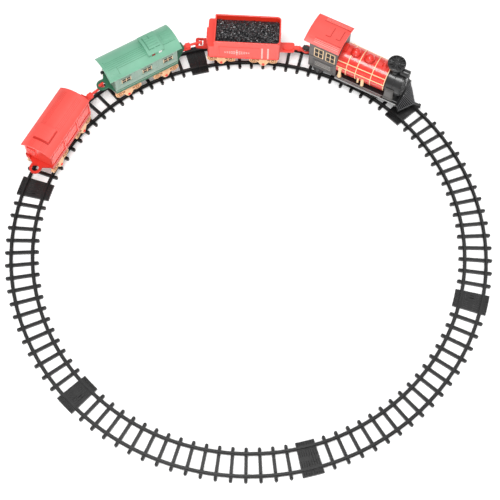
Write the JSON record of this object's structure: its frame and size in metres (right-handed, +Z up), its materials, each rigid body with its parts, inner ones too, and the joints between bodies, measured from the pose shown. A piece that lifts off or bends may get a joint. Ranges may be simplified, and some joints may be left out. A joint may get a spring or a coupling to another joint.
{
  "type": "model train set",
  "caption": "Battery toy train on a clip-together ring of curved track: locomotive, coal wagon, caboose and baggage wagon with rolling wheels and hooked couplings.",
  "frame": {"origin": "centre of the track ring, on the surface that the track lies on", "axes": "+Z up; +X and +Y lie in the floor plane, with the locomotive at about 63 degrees and the wagons behind it at about 93, 122 and 151 degrees counter-clockwise from +X; the train runs clockwise seen from above"},
  "size_m": [0.7004, 0.7014, 0.096],
  "materials": {
    "track_black": "satin moulded",
    "loco_black": "semi-gloss moulded",
    "boiler_red": "gloss moulded",
    "gold_trim": "satin gold paint",
    "cab_grey": "satin moulded",
    "roof_red": "satin moulded",
    "clear_lens": "clear",
    "steel": "bright",
    "brass_gear": "machined",
    "gear_nylon": "natural nylon",
    "tyre_rubber": "matt",
    "cell_jacket": "printed sleeve, plain",
    "wagon_red": "satin moulded",
    "coal_black": "broken, glossy facets",
    "frame_red": "satin moulded",
    "bogie_gold": "satin moulded",
    "wheel_red": "gloss moulded",
    "roof_green": "satin moulded",
    "side_green": "satin moulded",
    "frame_green": "satin moulded"
  },
  "bodies": {
    "track": {"track_section_1": "track_black", "track_section_2": "track_black", "track_section_3": "track_black", "track_section_4": "track_black", "track_section_5": "track_black", "track_section_6": "track_black"},
    "loco": {"loco_chassis": "loco_black", "cowcatcher": "loco_black", "boiler": "boiler_red", "boiler_bands": "gold_trim", "smokebox": "loco_black", "smokestack": "loco_black", "cab": "cab_grey", "cab_roof": "roof_red", "cab_windows": "gold_trim", "headlight": "loco_black", "headlight_lens": "clear_lens", "pumps": "gold_trim", "steam_cylinders": "cab_grey", "motor": "steel", "battery_cells": "cell_jacket", "battery_contacts": "steel", "battery_door": "loco_black", "loco_coupler": "loco_black", "loco_screws": "steel"},
    "drive_train": {"drive_axle": "steel", "drive_wheels": "loco_black", "traction_tyres": "tyre_rubber"},
    "idler": {"idler_gear": "gear_nylon"},
    "motor_rotor": {"motor_pinion": "brass_gear"},
    "middle_wheels": {"middle_wheelset": "loco_black"},
    "leading_wheels": {"leading_wheelset": "loco_black"},
    "switch": {"switch_knob": "wagon_red"},
    "coal_wagon": {"coal_body": "wagon_red", "coal_load": "coal_black", "coal_underframe": "frame_red", "coal_bogies": "bogie_gold", "coal_screws": "steel"},
    "coal_drawbar": {"coal_hook": "wagon_red"},
    "coal_front_wheels": {"coal_front_wheelset": "wheel_red"},
    "coal_rear_wheels": {"coal_rear_wheelset": "wheel_red"},
    "caboose": {"green_body": "side_green", "green_roof": "roof_green", "green_windows": "gold_trim", "green_underframe": "frame_green", "green_bogies": "bogie_gold", "green_marker_lamp": "loco_black", "green_screws": "steel"},
    "caboose_drawbar": {"green_hook": "wagon_red"},
    "caboose_front_wheels": {"green_front_wheelset": "wheel_red"},
    "caboose_rear_wheels": {"green_rear_wheelset": "wheel_red"},
    "baggage_wagon": {"red_body": "wagon_red", "red_roof": "roof_red", "red_underframe": "frame_red", "red_bogies": "bogie_gold", "red_marker_lamp": "frame_red", "red_screws": "steel"},
    "baggage_drawbar": {"red_hook": "wagon_red"},
    "baggage_front_wheels": {"red_front_wheelset": "wheel_red"},
    "baggage_rear_wheels": {"red_rear_wheelset": "wheel_red"}
  },
  "joints": [
    {"name": "train_run", "type": "hinge", "parent": "track", "child": "loco", "pos_m": [0, 0, 0], "axis": [0, 0, -1], "continuous": true},
    {"name": "coal_wagon_run", "type": "hinge", "parent": "track", "child": "coal_wagon", "pos_m": [0, 0, 0], "axis": [0, 0, -1], "continuous": true},
    {"name": "caboose_run", "type": "hinge", "parent": "track", "child": "caboose", "pos_m": [0, 0, 0], "axis": [0, 0, -1], "continuous": true},
    {"name": "baggage_wagon_run", "type": "hinge", "parent": "track", "child": "baggage_wagon", "pos_m": [0, 0, 0], "axis": [0, 0, -1], "continuous": true},
    {"name": "drive_wheels_spin", "type": "hinge", "parent": "loco", "child": "drive_train", "pos_m": [0.10662, 0.30938, 0.0163], "axis": [0.4496, 0.8932, 0], "continuous": true},
    {"name": "idler_spin", "type": "hinge", "parent": "loco", "child": "idler", "pos_m": [0.11198, 0.30668, 0.02576], "axis": [0.4496, 0.8932, 0], "continuous": true},
    {"name": "motor_spin", "type": "hinge", "parent": "loco", "child": "motor_rotor", "pos_m": [0.11198, 0.30668, 0.03766], "axis": [0.4496, 0.8932, 0], "continuous": true},
    {"name": "middle_wheels_spin", "type": "hinge", "parent": "loco", "child": "middle_wheels", "pos_m": [0.14682, 0.28915, 0.0163], "axis": [0.4496, 0.8932, 0], "continuous": true},
    {"name": "leading_wheels_spin", "type": "hinge", "parent": "loco", "child": "leading_wheels", "pos_m": [0.19327, 0.26577, 0.0143], "axis": [0.4496, 0.8932, 0], "continuous": true},
    {"name": "power_switch", "type": "slide", "parent": "loco", "child": "switch", "axis": [0.4496, 0.8932, 0], "range_m": [0, 0.004]},
    {"name": "coal_front_wheels_spin", "type": "hinge", "parent": "coal_wagon", "child": "coal_front_wheels", "pos_m": [0.01524, 0.32336, 0.0143], "axis": [0.0279, 0.9996, 0], "continuous": true},
    {"name": "coal_rear_wheels_spin", "type": "hinge", "parent": "coal_wagon", "child": "coal_rear_wheels", "pos_m": [-0.04923, 0.32516, 0.0143], "axis": [0.0279, 0.9996, 0], "continuous": true},
    {"name": "coal_drawbar_swing", "type": "hinge", "parent": "coal_wagon", "child": "coal_drawbar", "pos_m": [0.03299, 0.32286, 0.0298], "axis": [0, 0, 1], "range_deg": [-3.5, 3.5]},
    {"name": "caboose_front_wheels_spin", "type": "hinge", "parent": "caboose", "child": "caboose_front_wheels", "pos_m": [-0.14461, 0.29551, 0.0143], "axis": [-0.5388, 0.8425, 0], "continuous": true},
    {"name": "caboose_rear_wheels_spin", "type": "hinge", "parent": "caboose", "child": "caboose_rear_wheels", "pos_m": [-0.19895, 0.26076, 0.0143], "axis": [-0.5388, 0.8425, 0], "continuous": true},
    {"name": "caboose_drawbar_swing", "type": "hinge", "parent": "caboose", "child": "caboose_drawbar", "pos_m": [-0.11618, 0.31369, 0.0298], "axis": [0, 0, 1], "range_deg": [-3.5, 3.5]},
    {"name": "baggage_front_wheels_spin", "type": "hinge", "parent": "baggage_wagon", "child": "baggage_front_wheels", "pos_m": [-0.26994, 0.18517, 0.0143], "axis": [-0.8957, 0.4446, 0], "continuous": true},
    {"name": "baggage_rear_wheels_spin", "type": "hinge", "parent": "baggage_wagon", "child": "baggage_rear_wheels", "pos_m": [-0.29861, 0.12739, 0.0143], "axis": [-0.8957, 0.4446, 0], "continuous": true},
    {"name": "baggage_drawbar_swing", "type": "hinge", "parent": "baggage_wagon", "child": "baggage_drawbar", "pos_m": [-0.25493, 0.2154, 0.0298], "axis": [0, 0, 1], "range_deg": [-3.5, 3.5]}
  ],
  "couplings": [
    {"joint": "coal_wagon_run", "follows": "train_run", "ratio": 1},
    {"joint": "caboose_run", "follows": "train_run", "ratio": 1},
    {"joint": "baggage_wagon_run", "follows": "train_run", "ratio": 1},
    {"joint": "drive_wheels_spin", "follows": "train_run", "ratio": 40.75},
    {"joint": "idler_spin", "follows": "train_run", "ratio": -89.65},
    {"joint": "motor_spin", "follows": "train_run", "ratio": 215.16},
    {"joint": "middle_wheels_spin", "follows": "train_run", "ratio": 40.75},
    {"joint": "leading_wheels_spin", "follows": "train_run", "ratio": 54.333},
    {"joint": "coal_front_wheels_spin", "follows": "train_run", "ratio": 54.333},
    {"joint": "coal_rear_wheels_spin", "follows": "train_run", "ratio": 54.333},
    {"joint": "caboose_front_wheels_spin", "follows": "train_run", "ratio": 54.333},
    {"joint": "caboose_rear_wheels_spin", "follows": "train_run", "ratio": 54.333},
    {"joint": "baggage_front_wheels_spin", "follows": "train_run", "ratio": 54.333},
    {"joint": "baggage_rear_wheels_spin", "follows": "train_run", "ratio": 54.333}
  ]
}
